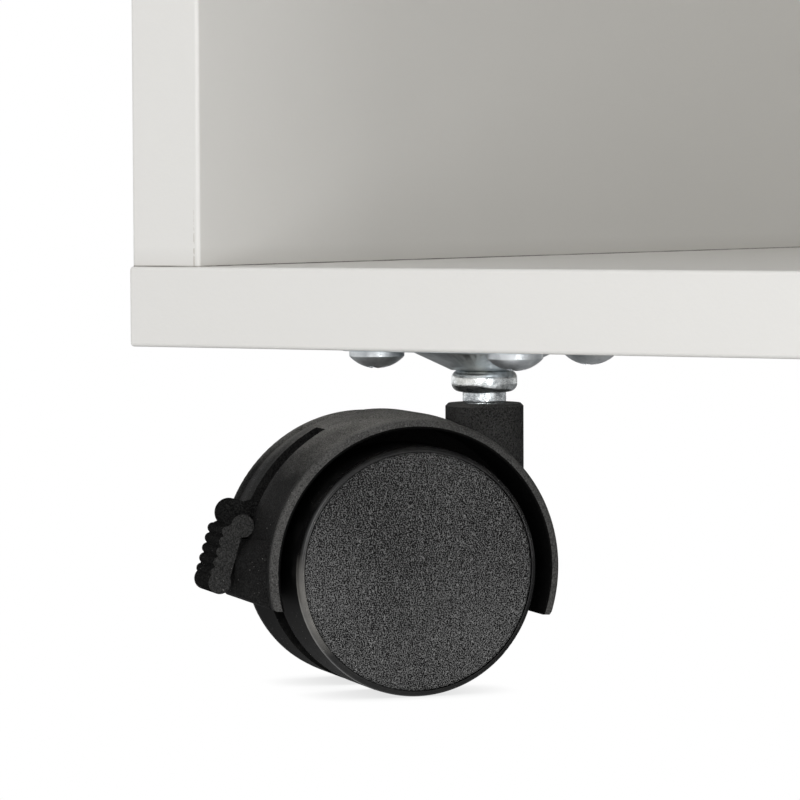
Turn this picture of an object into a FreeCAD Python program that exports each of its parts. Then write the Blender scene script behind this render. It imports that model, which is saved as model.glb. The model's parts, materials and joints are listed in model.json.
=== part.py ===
# Rolling printer stand: an open cabinet of melamine board on four twin-wheel casters.
# The two front casters have a foot brake. Millimetres, +Z up, front towards -Y,
# origin on the floor below the middle of the cabinet.
import FreeCAD, Part
import math
import os
import re
import Sketcher

Vector = FreeCAD.Vector

# Driving dimensions: name, value, meaning
sizes = [
    ("width", 600, "outside width of the top and bottom panels"),
    ("depth", 400, "outside depth of the top and bottom panels"),
    ("height", 660, "floor to the top face"),
    ("board", 16, "thickness of every melamine board"),
    ("board_round", 0.8, "rounding of the edge-banded board edges"),
    ("proud", 0.5, "how far the top and bottom panels stand proud of the sides"),
    ("back_board", 4, "thickness of the back panel"),
    ("back_setback", 12, "rear edge of the cabinet to the back panel"),
    ("groove_depth", 6, "depth of the grooves that hold the back panel"),
    ("groove_play", 0.2, "play of the back panel in its grooves, each way"),
    ("shelf_level", 356, "floor to the underside of the middle shelf"),
    ("shelf_setback", 20, "front of the sides to the front of the shelf"),
    ("shelf_play", 1.5, "gap between the shelf and each side, and the back panel"),
    ("pin_radius", 2.5, "shelf pin"),
    ("pin_bite", 8, "length of a shelf pin inside the side panel"),
    ("pin_reach", 9, "length of a shelf pin under the shelf"),
    ("pin_collar", 4, "radius of the collar on a shelf pin"),
    ("pin_collar_width", 1, "width of that collar"),
    ("pin_inset", 37, "shelf edge to the pin beside it"),
    ("hole_pitch", 32, "spacing of the spare shelf holes"),
    ("cam_radius", 7.5, "cam disc of the top joint"),
    ("cam_depth", 12.5, "depth of a cam disc in the side panel"),
    ("cam_drop", 34, "end of the side panel to the cam axis"),
    ("cam_inset", 60, "front or rear edge to the cam"),
    ("cam_slot", 1.6, "width of the driver slot in a cam disc"),
    ("cam_slot_length", 11, "length of that slot"),
    ("cam_slot_depth", 1.6, "depth of that slot"),
    ("bolt_radius", 3, "thread of the cam bolt"),
    ("bolt_neck", 2.5, "shank of the cam bolt"),
    ("bolt_head", 3.4, "head of the cam bolt, held by the cam"),
    ("bolt_head_height", 4, "height of that head"),
    ("bolt_bite", 11, "length of the cam bolt inside the top panel"),
    ("bolt_play", 0.1, "play round the head of the cam bolt"),
    ("dowel_radius", 4, "wooden dowel"),
    ("dowel_length", 30, "wooden dowel"),
    ("dowel_bite", 10, "length of a dowel inside the top or bottom panel"),
    ("dowel_inset", 100, "front or rear edge to the dowel"),
    ("joint_screw_head", 5, "head radius of the screws through the bottom panel"),
    ("joint_screw_body", 3.5, "plain shank radius of those screws"),
    ("joint_screw_thread", 2.5, "thread core radius of those screws"),
    ("joint_screw_length", 50, "length of those screws"),
    ("joint_screw_cone", 3, "height of their flat head"),
    ("joint_screw_inset", 60, "front or rear edge to the screw"),
    ("hex_radius", 2, "corner radius of their hexagon socket"),
    ("hex_depth", 2.5, "depth of that socket"),
    ("wheel_diameter", 50, "caster wheel"),
    ("axle_drop", 44.7, "underside of the bottom panel to the wheel axle"),
    ("stem_inset", 52, "edge of the bottom panel to the stem, both ways"),
    ("trail", 20.9, "stem axis to the wheel axle"),
    ("swivel_out", 49.2, "angle of a resting caster from the X axis, degrees"),
    ("run_fit", 0.05, "radial clearance of a shaft in its bore"),
    ("plate_size", 45, "square mounting plate"),
    ("plate_thickness", 1.5, "sheet of the mounting plate"),
    ("plate_corner", 5, "corner radius of the mounting plate"),
    ("plate_hole_pitch", 32, "spacing of the screw holes in the plate"),
    ("boss_radius", 15.8, "foot of the stamped cone in the plate"),
    ("boss_tip", 6.9, "tip radius of that cone"),
    ("boss_drop", 4.2, "height of that cone below the plate"),
    ("screw_head", 5.6, "pan head radius of the plate screws"),
    ("screw_head_height", 3.6, "pan head height"),
    ("screw_dome", 2.5, "height of the domed part of the pan head"),
    ("screw_radius", 2.5, "shank of the plate screws"),
    ("screw_length", 13, "length of the plate screws under the head"),
    ("recess_length", 5.6, "length of the cross recess in the screw heads"),
    ("recess_width", 1.2, "width of that recess"),
    ("recess_depth", 1.6, "depth of that recess"),
    ("stem_radius", 4, "swivel stem"),
    ("stem_depth", 10, "length of the stem inside the housing"),
    ("rivet_radius", 5.6, "riveted head of the stem inside the cone"),
    ("rivet_height", 2.2, "height of that head"),
    ("bead_radius", 6.75, "bead on the stem below the cone"),
    ("bead_height", 4.5, "height of the bead"),
    ("bead_round", 1.8, "rounding of the bead"),
    ("neck_radius", 4.45, "neck of the stem above the housing"),
    ("neck_height", 2, "height of the neck"),
    ("swivel_gap", 0.3, "play between the neck and the housing"),
    ("ring_seat", 6, "neck to the retaining ring"),
    ("ring_height", 1, "height of the retaining ring"),
    ("ring_bite", 0.5, "depth of the retaining ring in the stem"),
    ("ring_reach", 0.7, "how far the retaining ring stands out of the stem"),
    ("ring_play", 0.25, "play round the retaining ring in the housing"),
    ("tube_radius", 8, "stem tube of the housing"),
    ("tube_chamfer", 0.6, "chamfer on top of the stem tube"),
    ("hood_radius", 31.2, "outside of the hood over the wheels"),
    ("hood_wall", 2.8, "wall of the hood"),
    ("hood_half", 18, "half width of the hood"),
    ("hood_round", 1, "rounding of the hood's lips"),
    ("lip_width", 2.4, "width of the raised lip along each edge of the hood"),
    ("lip_rise", 0.5, "how far that lip stands up from the hood beside it"),
    ("lip_slope", 1, "width of the slope between them"),
    ("hood_crown", 0.8, "fall of the hood from its middle to its rims"),
    ("crown_half", 6, "half width of the level middle of the hood"),
    ("heel_drop", 9.8, "how far the hood reaches below the axle on the stem side"),
    ("toe_drop", 7, "how far the hood reaches below the axle on the other side"),
    ("leg_bevel", 1.4, "bevel of the hood's lower ends"),
    ("web_half", 3.2, "half thickness of the web between the wheels"),
    ("axle_boss", 6, "radius of the web round the axle"),
    ("axle_radius", 3, "wheel axle"),
    ("axle_half", 16.3, "half length of the axle"),
    ("snap_width", 0.8, "width of the bead that snaps a wheel on to the axle"),
    ("snap_depth", 0.25, "depth of that bead"),
    ("snap_inset", 3, "end of the axle to that bead"),
    ("snap_play", 0.15, "play of that bead in the axle groove"),
    ("wheel_inner", 3.8, "caster middle to the inner edge of a wheel rim"),
    ("wheel_outer", 19.5, "caster middle to the outer edge of a wheel rim"),
    ("hub_gap", 0.3, "gap between the web and a wheel hub"),
    ("hub_radius", 6.5, "wheel hub"),
    ("rim_wall", 3.5, "wall of the wheel rim"),
    ("wheel_disc", 1.3, "disc that joins the hub to the rim"),
    ("shoulder_run", 3, "width of the sloped shoulder of the tread"),
    ("shoulder_taper", 0.1, "fall of that shoulder"),
    ("shoulder_round", 1, "rounding of the rim beside the cap"),
    ("rim_land", 0.05, "flat of the rim beside the cap"),
    ("cap_thickness", 1.3, "face cap of a wheel"),
    ("cap_proud", 0.2, "how far the cap stands proud of the rim"),
    ("cap_edge", 0.4, "chamfer of the cap"),
    ("cap_groove", 0.2, "gap round the cap"),
    ("nose_reach", 3.5, "front of the chin that shields the pedal, beyond the hood"),
    ("nose_top", 6.5, "top of the chin above the axle"),
    ("nose_brow", 0.6, "upper edge of the chin's front above the axle"),
    ("nose_chin", 4.4, "lower edge of the chin's front below the axle"),
    ("nose_foot", 2.2, "setback of the chin's foot from the hood's outside"),
    ("nose_half", 14.3, "half width of the chin where it meets the hood"),
    ("nose_fade", 1.8, "setback of the chin's ends from the hood's outside"),
    ("nose_round", 1.5, "rounding of the chin"),
    ("pedal_recess", 0.9, "depth of the recess in the chin behind the pedal"),
    ("slot_half", 3.1, "half width of the slot for the brake arm"),
    ("slot_low", 11, "lower end of the slot, degrees above the axle's level"),
    ("slot_high", 63, "upper end of the slot, degrees above the axle's level"),
    ("lever_play", 0.35, "gap between the brake lever and the housing"),
    ("pivot_out", 2.46, "brake pivot beyond the inside of the wheel rims"),
    ("pivot_up", 31.17, "brake pivot above the axle's level, degrees"),
    ("lever_pin", 1.25, "radius of the brake pivot pin"),
    ("lever_hub", 3.2, "radius of the lever round its pin"),
    ("arm_half", 1.8, "half thickness of the brake arm"),
    ("bar_arm", 8, "brake pivot to the brake bar"),
    ("bar_angle", 163, "direction of the brake bar from the pivot, degrees"),
    ("bar_radius", 1.6, "brake bar that bears on the wheel rims"),
    ("bar_half", 8.5, "half length of the brake bar"),
    ("strut_half", 1.3, "half width of the strut to the brake bar"),
    ("lever_swing", 75, "turn of the lever from locked to free, degrees"),
    ("sweep_margin", 15, "room past each end of that turn for the brake bar, degrees"),
    ("knuckle_out", 1.7, "knuckle of the lever beyond the hood"),
    ("knuckle_up", 11.2, "knuckle of the lever from the axle, upwards"),
    ("knuckle_radius", 2.9, "knuckle of the lever"),
    ("knuckle_half", 2.75, "half thickness of the knuckle"),
    ("ear_out", 1.05, "ears of the pedal beyond the hood"),
    ("ear_up", 9, "ears of the pedal from the axle, upwards"),
    ("ear_radius", 2.3, "ears of the pedal"),
    ("pedal_half", 5.5, "half width of the pedal"),
    ("pedal_out", 3, "top of the pedal beyond the hood"),
    ("pedal_up", 7.6, "top of the pedal from the axle, upwards"),
    ("pedal_length", 10.2, "top of the pedal to the middle of its tip"),
    ("pedal_angle", -73.5, "direction of the pedal, degrees"),
    ("pedal_thick", 3.5, "thickness of the pedal"),
    ("pedal_tip", 2.25, "radius of the tip of the pedal"),
    ("rib_radius", 1.05, "grip ribs on the pedal"),
    ("rib_sink", 0.45, "depth of the middle of a rib below the face of the pedal"),
    ("rib_pitch", 2.1, "spacing of the grip ribs"),
]
rib_count = 5
spare_holes = 2

doc = FreeCAD.newDocument("rolling_printer_stand")
sheet = doc.addObject("Spreadsheet::Sheet", "Sizes")
for row, (alias, value, meaning) in enumerate(sizes, start=1):
    sheet.set("A%d" % row, alias)
    sheet.set("B%d" % row, str(value))
    sheet.setAlias("B%d" % row, alias)
    sheet.set("C%d" % row, meaning)
doc.recompute()
aliases = {alias for alias, value, meaning in sizes}
nodes = []


def formula(text):
    """Turn plain size names into references to the sheet."""
    def reference(word):
        return "Sizes." + word.group() if word.group() in aliases else word.group()
    return re.sub(r"[a-z_][a-z_0-9]*", reference, text)


def bind(piece, **values):
    for name, text in values.items():
        piece.setExpression(name, formula(text))


def place(piece, x="0", y="0", z="0"):
    for axis, text in (("x", x), ("y", y), ("z", z)):
        piece.setExpression("Placement.Base." + axis, formula(text))
    return piece


def node(piece, label):
    piece.Label = label
    nodes.append(piece)
    return piece


# Part primitives and booleans


axis_turns = {
    "X": FreeCAD.Rotation(Vector(0, 1, 0), 90),
    "Y": FreeCAD.Rotation(Vector(1, 0, 0), -90),
    "Z": FreeCAD.Rotation(),
}


def cylinder(name, radius, length, x="0", y="0", z="0", along="Z"):
    piece = doc.addObject("Part::Cylinder", name)
    piece.Placement = FreeCAD.Placement(Vector(), axis_turns[along])
    bind(piece, Radius=radius, Height=length)
    return place(piece, x, y, z)


def crossbar(name, radius, half, x, z):
    """A cylinder across the caster, along Y, as far to one side as to the other."""
    return cylinder(name, radius, "2 * (%s)" % half, x, "-(%s)" % half, z, along="Y")


def box(name, length, width, height, x="0", y="0", z="0"):
    piece = doc.addObject("Part::Box", name)
    bind(piece, Length=length, Width=width, Height=height)
    return place(piece, x, y, z)


def cone(name, low_radius, high_radius, height, z):
    piece = doc.addObject("Part::Cone", name)
    bind(piece, Radius1=low_radius, Radius2=high_radius, Height=height)
    return place(piece, z=z)


def sphere(name, radius, z):
    piece = doc.addObject("Part::Sphere", name)
    bind(piece, Radius=radius)
    return place(piece, z=z)


def fuse(name, *pieces):
    joined = doc.addObject("Part::MultiFuse", name)
    joined.Shapes = list(pieces)
    return joined


def group(name, pieces):
    gathered = doc.addObject("Part::Compound", name)
    gathered.Links = list(pieces)
    return gathered


def cut(name, base, *tools):
    result = doc.addObject("Part::Cut", name)
    result.Base = base
    result.Tool = tools[0] if len(tools) == 1 else fuse(name + "_tools", *tools)
    return result


def common(name, first, second):
    result = doc.addObject("Part::Common", name)
    result.Base = first
    result.Tool = second
    return result


# Bodies with sketches


def new_sketch(body, role):
    plane = next(feature for feature in body.Origin.OriginFeatures if feature.Role == role)
    sketch = body.newObject("Sketcher::SketchObject", body.Name + "_sketch")
    sketch.AttachmentSupport = [(plane, "")]
    sketch.MapMode = "FlatFace"
    return sketch


def draw_outline(sketch, corners):
    """A closed outline of straight lines, each corner held by two bound distances."""
    count = len(corners)
    turns = [2 * math.pi * i / count for i in range(count)]
    start = [Vector(math.cos(turn), math.sin(turn), 0) for turn in turns]
    for i in range(count):
        sketch.addGeometry(Part.LineSegment(start[i], start[(i + 1) % count]), False)
    for i in range(count):
        sketch.addConstraint(Sketcher.Constraint("Coincident", i, 2, (i + 1) % count, 1))
    for i, (across, up) in enumerate(corners):
        for kind, text, value in (("DistanceX", across, start[i].x), ("DistanceY", up, start[i].y)):
            index = sketch.addConstraint(Sketcher.Constraint(kind, -1, 1, i, 1, value))
            sketch.setExpression("Constraints[%d]" % index, formula(text))


def turned(name, corners, role="XZ_Plane"):
    """A body turned about the sketch's upright axis: Z from XZ_Plane, Y from XY_Plane."""
    body = doc.addObject("PartDesign::Body", name)
    sketch = new_sketch(body, role)
    draw_outline(sketch, corners)
    revolution = body.newObject("PartDesign::Revolution", name + "_turn")
    revolution.Profile = sketch
    revolution.ReferenceAxis = (sketch, ["V_Axis"])
    revolution.Angle = 360
    return body


def padded(name, role, corners, length, midplane=True):
    body = doc.addObject("PartDesign::Body", name)
    sketch = new_sketch(body, role)
    draw_outline(sketch, corners)
    pad = body.newObject("PartDesign::Pad", name + "_pad")
    pad.Profile = sketch
    pad.Midplane = midplane
    bind(pad, Length=length)
    return body


def round_edges(body, radius, wanted):
    """Round the edges of a body that the test named by wanted picks out."""
    doc.recompute()
    last = body.Tip
    names = ["Edge%d" % i for i, edge in enumerate(last.Shape.Edges, start=1) if wanted(edge)]
    fillet = body.newObject("PartDesign::Fillet", body.Name + "_round")
    fillet.Base = (last, names)
    bind(fillet, Radius=radius)
    return body


def close(first, second):
    return abs(first - second) < 1e-4


def upright(edge):
    return edge.BoundBox.ZLength > edge.BoundBox.DiagonalLength / 2


def ring_of(radius):
    """Test for a circular edge of this radius."""
    def wanted(edge):
        return isinstance(edge.Curve, Part.Circle) and close(edge.Curve.Radius, radius)
    return wanted


# Heights and places that several pieces share

underside = "(axle_drop + wheel_diameter / 2)"
side_foot = "(%s + board)" % underside
side_head = "(height - board)"
inner_half = "(width / 2 - proud - board)"
board_middle = "(%s + board / 2)" % inner_half
back_front = "(depth / 2 - back_setback - back_board)"
shelf_front = "(-depth / 2 + proud + shelf_setback)"
shelf_back = "(%s - shelf_play)" % back_front
cap_recess = "(wheel_diameter / 2 - shoulder_taper - shoulder_round - rim_land)"
cap_seat = "(wheel_outer + cap_proud - cap_thickness)"
hub_inner = "(web_half + hub_gap)"
bore_end = "(axle_half + hub_gap)"
hood_inner = "(hood_radius - hood_wall)"
neck_foot = "(plate_thickness + boss_drop + bead_height + neck_height)"
tube_top = "(axle_drop - %s - swivel_gap)" % neck_foot
stem_end = "(axle_drop - %s - stem_depth)" % neck_foot
rim_inner = "(wheel_diameter / 2 - rim_wall)"
nose_x = "(hood_radius + nose_reach)"
pivot_x = "((%s + pivot_out) * cos(pivot_up))" % rim_inner
pivot_z = "((%s + pivot_out) * sin(pivot_up))" % rim_inner
bar_x = "(%s + bar_arm * cos(bar_angle))" % pivot_x
bar_z = "(%s + bar_arm * sin(bar_angle))" % pivot_z
knuckle_x = "(hood_radius + knuckle_out)"
ear_x = "(hood_radius + ear_out)"
pedal_x = "(hood_radius + pedal_out)"

# Each corner: sign of X, sign of Y, turn of the resting caster, braked or not
corners = {
    "front_left": (-1, -1, "180 + swivel_out", True),
    "front_right": (1, -1, "360 - swivel_out", True),
    "rear_left": (-1, 1, "180 - swivel_out", False),
    "rear_right": (1, 1, "swivel_out", False),
}
sides = {"left": -1, "right": 1}
ends = {"front": -1, "rear": 1}


def signed(sign, text):
    return text if sign > 0 else "-(%s)" % text


# Cabinet


def board_body(name, length, width, thickness, x, y, z, square_ends=False):
    """A board with rounded edges, or only the upright ones where its ends butt against other boards."""
    outline = [("0", "0"), (length, "0"), (length, width), ("0", width)]
    body = padded(name, "XY_Plane", outline, thickness, midplane=False)
    round_edges(body, "board_round", upright if square_ends else lambda edge: True)
    return place(body, x, y, z)


def joint_screw(name, x, y):
    body = turned(name, [
        ("0", "0"),
        ("joint_screw_head", "0"),
        ("joint_screw_body", "joint_screw_cone"),
        ("joint_screw_body", "board"),
        ("joint_screw_thread", "board"),
        ("joint_screw_thread", "joint_screw_length"),
        ("0", "joint_screw_length"),
    ])
    return place(body, x, y, underside)


def dowel(name, side, end, low):
    x = signed(side, board_middle)
    y = signed(end, "depth / 2 - dowel_inset")
    return cylinder(name, "dowel_radius", "dowel_length", x, y, low)


def back_groove(name, length, height, x, z):
    return box(name, length, "back_board + 2 * groove_play", height, x, back_front + " - groove_play", z)


bottom_dowel_foot = side_foot + " - dowel_bite"
top_dowel_foot = side_head + " + dowel_bite - dowel_length"


def bottom_panel():
    raw = board_body("bottom_board", "width", "depth", "board", "-width / 2", "-depth / 2", underside)
    tools = [back_groove(
        "bottom_groove", "2 * (%s + groove_depth)" % inner_half, "groove_depth",
        "-(%s + groove_depth)" % inner_half, side_foot + " - groove_depth")]
    for side_name, side in sides.items():
        for end_name, end in ends.items():
            spot = "bottom_%s_%s" % (end_name, side_name)
            tools.append(dowel(spot + "_dowel_hole", side, end, bottom_dowel_foot))
            tools.append(joint_screw(
                spot + "_screw_hole", signed(side, board_middle),
                signed(end, "depth / 2 - joint_screw_inset")))
            for across in (-1, 1):
                for along in (-1, 1):
                    x = "%s + %d * plate_hole_pitch / 2" % (signed(side, "width / 2 - stem_inset"), across)
                    y = "%s + %d * plate_hole_pitch / 2" % (signed(end, "depth / 2 - stem_inset"), along)
                    tools.append(cylinder(
                        spot + "_pilot", "screw_radius", "screw_length - plate_thickness", x, y, underside))
    node(cut("bottom_panel_cut", raw, *tools), "bottom_panel")


def top_panel():
    raw = board_body("top_board", "width", "depth", "board", "-width / 2", "-depth / 2", side_head)
    tools = [back_groove(
        "top_groove", "2 * (%s + groove_depth)" % inner_half, "groove_depth",
        "-(%s + groove_depth)" % inner_half, side_head)]
    for side_name, side in sides.items():
        for end_name, end in ends.items():
            spot = "top_%s_%s" % (end_name, side_name)
            tools.append(dowel(spot + "_dowel_hole", side, end, top_dowel_foot))
            tools.append(cylinder(
                spot + "_bolt_hole", "bolt_radius", "bolt_bite",
                signed(side, board_middle), signed(end, "depth / 2 - cam_inset"), side_head))
    node(cut("top_panel_cut", raw, *tools), "top_panel")


def pin_row(end):
    return shelf_front + " + pin_inset" if end < 0 else shelf_back + " - pin_inset"


def inward(side, length, start="0"):
    """X of the low end of something that goes this far into a side panel from its inner face."""
    if side > 0:
        return "%s + %s" % (inner_half, start)
    return "-(%s + %s + %s)" % (inner_half, start, length)


def side_panel(side_name, side):
    spot = side_name + "_side"
    raw = board_body(
        spot + "_board", "board", "depth - 2 * proud", "%s - %s" % (side_head, side_foot),
        signed(side, inner_half) + ("" if side > 0 else " - board"), "-depth / 2 + proud", side_foot,
        square_ends=True)
    tools = [back_groove(
        spot + "_groove", "groove_depth", "%s - %s" % (side_head, side_foot),
        inward(side, "groove_depth"), side_foot)]
    for end_name, end in ends.items():
        name = "%s_%s" % (spot, end_name)
        tools.append(dowel(name + "_low_dowel_hole", side, end, bottom_dowel_foot))
        tools.append(dowel(name + "_high_dowel_hole", side, end, top_dowel_foot))
        tools.append(joint_screw(
            name + "_screw_hole", signed(side, board_middle), signed(end, "depth / 2 - joint_screw_inset")))
        cam_y = signed(end, "depth / 2 - cam_inset")
        tools.append(cylinder(
            name + "_cam_hole", "cam_radius", "cam_depth", inward(side, "cam_depth"), cam_y,
            side_head + " - cam_drop", along="X"))
        tools.append(cylinder(
            name + "_bolt_hole", "bolt_head + bolt_play", "cam_drop", signed(side, board_middle), cam_y,
            side_head + " - cam_drop"))
        for step in range(-spare_holes, spare_holes + 1):
            tools.append(cylinder(
                name + "_pin_hole", "pin_radius", "pin_bite", inward(side, "pin_bite"), pin_row(end),
                "shelf_level - pin_radius + %d * hole_pitch" % step, along="X"))
    node(cut(spot + "_cut", raw, *tools), side_name + "_side_panel")


def back_panel():
    margin = "(groove_depth - groove_play)"
    node(box(
        "back_sheet", "2 * (%s + %s)" % (inner_half, margin), "back_board",
        "%s - %s + 2 * %s" % (side_head, side_foot, margin),
        "-(%s + %s)" % (inner_half, margin), back_front, "%s - %s" % (side_foot, margin)), "back_panel")


def middle_shelf():
    node(board_body(
        "shelf_board", "2 * (%s - shelf_play)" % inner_half, "%s - %s" % (shelf_back, shelf_front), "board",
        "-(%s - shelf_play)" % inner_half, shelf_front, "shelf_level"), "middle_shelf")


def shelf_pin(name, side, end):
    spot = (pin_row(end), "shelf_level - pin_radius")
    peg_start = inward(side, "pin_bite")
    nose_start = inward(side, "pin_reach", "-pin_reach")
    collar_start = inward(side, "pin_collar_width", "-pin_collar_width")
    return fuse(
        name,
        cylinder(name + "_peg", "pin_radius", "pin_bite", peg_start, *spot, along="X"),
        cylinder(name + "_nose", "pin_radius", "pin_reach", nose_start, *spot, along="X"),
        cylinder(name + "_collar", "pin_collar", "pin_collar_width", collar_start, *spot, along="X"))


def cam_disc(name, side, end):
    y = signed(end, "depth / 2 - cam_inset")
    level = side_head + " - cam_drop"
    disc = cylinder(name + "_disc", "cam_radius", "cam_depth", inward(side, "cam_depth"), y, level, along="X")
    seat = cylinder(
        name + "_seat", "bolt_head + bolt_play", "2 * cam_radius", signed(side, board_middle), y,
        "%s - bolt_head_height / 2 - bolt_play" % level)
    slot = box(
        name + "_slot", "2 * cam_slot_depth", "cam_slot", "cam_slot_length",
        signed(side, inner_half) + " - cam_slot_depth", "%s - cam_slot / 2" % y,
        level + " - cam_slot_length / 2")
    return cut(name, disc, seat, slot)


def cam_bolt(name, side, end):
    body = turned(name, [
        ("0", "-cam_drop - bolt_head_height / 2"),
        ("bolt_head", "-cam_drop - bolt_head_height / 2"),
        ("bolt_head", "-cam_drop + bolt_head_height / 2"),
        ("bolt_neck", "-cam_drop + bolt_head_height / 2"),
        ("bolt_neck", "0"),
        ("bolt_radius", "0"),
        ("bolt_radius", "bolt_bite"),
        ("0", "bolt_bite"),
    ])
    return place(body, signed(side, board_middle), signed(end, "depth / 2 - cam_inset"), side_head)


def socket_screw(name, side, end):
    x = signed(side, board_middle)
    y = signed(end, "depth / 2 - joint_screw_inset")
    socket = doc.addObject("Part::Prism", name + "_socket")
    socket.Polygon = 6
    bind(socket, Circumradius="hex_radius", Height="hex_depth")
    place(socket, x, y, underside)
    return cut(name, joint_screw(name + "_body", x, y), socket)


def cabinet_fasteners():
    pins = []
    discs = []
    bolts = []
    screws = []
    dowels = []
    for side_name, side in sides.items():
        for end_name, end in ends.items():
            spot = "%s_%s" % (end_name, side_name)
            pins.append(shelf_pin(spot + "_shelf_pin", side, end))
            discs.append(cam_disc(spot + "_cam", side, end))
            bolts.append(cam_bolt(spot + "_cam_bolt", side, end))
            screws.append(socket_screw(spot + "_joint_screw", side, end))
            dowels.append(dowel(spot + "_low_dowel", side, end, bottom_dowel_foot))
            dowels.append(dowel(spot + "_high_dowel", side, end, top_dowel_foot))
    node(group("shelf_pin_set", pins), "shelf_pins")
    node(group("cam_disc_set", discs), "cam_discs")
    node(group("cam_bolt_set", bolts), "cam_bolts")
    node(group("joint_screw_set", screws), "bottom_joint_screws")
    node(group("dowel_set", dowels), "dowels")


# Caster pieces fixed to the cabinet, in a frame with its origin on the stem axis at the
# underside of the bottom panel


def stand_at_stem(piece, x_sign, y_sign):
    return place(
        piece, signed(x_sign, "width / 2 - stem_inset"), signed(y_sign, "depth / 2 - stem_inset"), underside)


def plate(name):
    half = "plate_size / 2"
    flat = padded(name + "_flat", "XY_Plane", [
        ("-" + half, "-" + half), (half, "-" + half), (half, half), ("-" + half, half),
    ], "plate_thickness", midplane=False)
    round_edges(flat, "plate_corner", lambda edge: close(edge.BoundBox.ZLength, sheet.get("plate_thickness")))
    place(flat, z="-plate_thickness")
    boss = cone(name + "_boss", "boss_tip", "boss_radius", "boss_drop", "-plate_thickness - boss_drop")
    hollow = cone(name + "_hollow", "boss_tip", "boss_radius", "boss_drop", "-boss_drop")
    tools = [hollow, cylinder(name + "_stem_hole", "stem_radius", "axle_drop", z="-axle_drop")]
    for across in (-1, 1):
        for along in (-1, 1):
            tools.append(cylinder(
                name + "_hole", "screw_radius", "plate_thickness", "%d * plate_hole_pitch / 2" % across,
                "%d * plate_hole_pitch / 2" % along, "-plate_thickness"))
    return cut(name, fuse(name + "_pressing", flat, boss), *tools)


def plate_screw(name, x, y):
    head_low = "-plate_thickness - screw_head_height"
    ball_radius = "((screw_head * screw_head + screw_dome * screw_dome) / (2 * screw_dome))"
    head = common(
        name + "_head", cylinder(name + "_disc", "screw_head", "screw_head_height", z=head_low),
        sphere(name + "_ball", ball_radius, "%s + %s" % (head_low, ball_radius)))
    shank = cylinder(name + "_shank", "screw_radius", "screw_length", z="-plate_thickness")
    recess = [
        box(name + "_slot", "recess_length", "recess_width", "recess_depth",
            "-recess_length / 2", "-recess_width / 2", head_low),
        box(name + "_cross", "recess_width", "recess_length", "recess_depth",
            "-recess_width / 2", "-recess_length / 2", head_low),
    ]
    return place(cut(name, fuse(name + "_blank", head, shank), *recess), x, y)


def stem(name):
    bead_top = "-plate_thickness - boss_drop"
    bead_low = bead_top + " - bead_height"
    ring_low = "-%s - ring_seat - ring_height" % neck_foot
    body = turned(name, [
        ("0", "-boss_drop + rivet_height"),
        ("rivet_radius", "-boss_drop + rivet_height"),
        ("rivet_radius", "-boss_drop"),
        ("stem_radius", "-boss_drop"),
        ("stem_radius", bead_top),
        ("bead_radius", bead_top),
        ("bead_radius", bead_low),
        ("neck_radius", bead_low),
        ("neck_radius", "-" + neck_foot),
        ("stem_radius", "-" + neck_foot),
        ("stem_radius", ring_low + " + ring_height"),
        ("stem_radius - ring_bite", ring_low + " + ring_height"),
        ("stem_radius - ring_bite", ring_low),
        ("stem_radius", ring_low),
        ("stem_radius", "-%s - stem_depth" % neck_foot),
        ("0", "-%s - stem_depth" % neck_foot),
    ])
    return round_edges(body, "bead_round", ring_of(sheet.get("bead_radius")))


def stem_ring(name):
    low = "-%s - ring_seat - ring_height" % neck_foot
    outside = cylinder(name + "_outside", "stem_radius + ring_reach", "ring_height", z=low)
    inside = cylinder(name + "_inside", "stem_radius - ring_bite", "ring_height", z=low)
    return cut(name, outside, inside)


def fixed_pieces(corner, x_sign, y_sign):
    spots = [(across, along) for across in (-1, 1) for along in (-1, 1)]
    screws = [
        plate_screw("%s_screw_%d" % (corner, i), "%d * plate_hole_pitch / 2" % spot[0],
                    "%d * plate_hole_pitch / 2" % spot[1])
        for i, spot in enumerate(spots)
    ]
    fixed = {
        "_caster_plate": plate(corner + "_plate"),
        "_caster_screws": group(corner + "_screw_set", screws),
        "_caster_stem": stem(corner + "_stem"),
        "_stem_ring": stem_ring(corner + "_ring"),
    }
    for ending, piece in fixed.items():
        node(stand_at_stem(piece, x_sign, y_sign), corner + ending)


# Swivelling caster pieces, in a frame with its origin on the axle in the middle of the
# caster, X away from the stem and Y along the axle


def stand_at_axle(piece, x_sign, y_sign, turn):
    piece.setExpression("Placement.Rotation.Angle", formula(turn))
    return place(
        piece, "%s + trail * cos(%s)" % (signed(x_sign, "width / 2 - stem_inset"), turn),
        "%s + trail * sin(%s)" % (signed(y_sign, "depth / 2 - stem_inset"), turn), "wheel_diameter / 2")


def hood(name):
    rim = "hood_radius - hood_crown"
    edge = [
        ("hood_radius", "crown_half"), (rim + " - lip_rise", "(hood_half - lip_width - lip_slope)"),
        (rim, "(hood_half - lip_width)"), (rim, "hood_half"), (hood_inner, "hood_half"),
    ]
    far_edge = [(across, "-" + along) for across, along in reversed(edge)]
    drum = turned(name + "_drum", far_edge + edge, "XY_Plane")
    round_edges(drum, "hood_round", ring_of(sheet.get("hood_radius") - sheet.get("hood_crown")))
    far = "2 * hood_radius"
    heel = "sqrt(hood_radius * hood_radius - heel_drop * heel_drop)"
    toe = "sqrt(hood_radius * hood_radius - toe_drop * toe_drop)"
    mouth = padded(name + "_mouth", "XZ_Plane", [
        ("-" + far, "-" + far), (far, "-" + far), (far, "leg_bevel - toe_drop"),
        (toe, "leg_bevel - toe_drop"), (toe + " - leg_bevel", "-toe_drop"),
        ("leg_bevel - " + heel, "-heel_drop"), ("-" + heel, "leg_bevel - heel_drop"),
        ("-" + far, "leg_bevel - heel_drop"),
    ], "4 * hood_half")
    return cut(name, drum, mouth)


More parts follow.
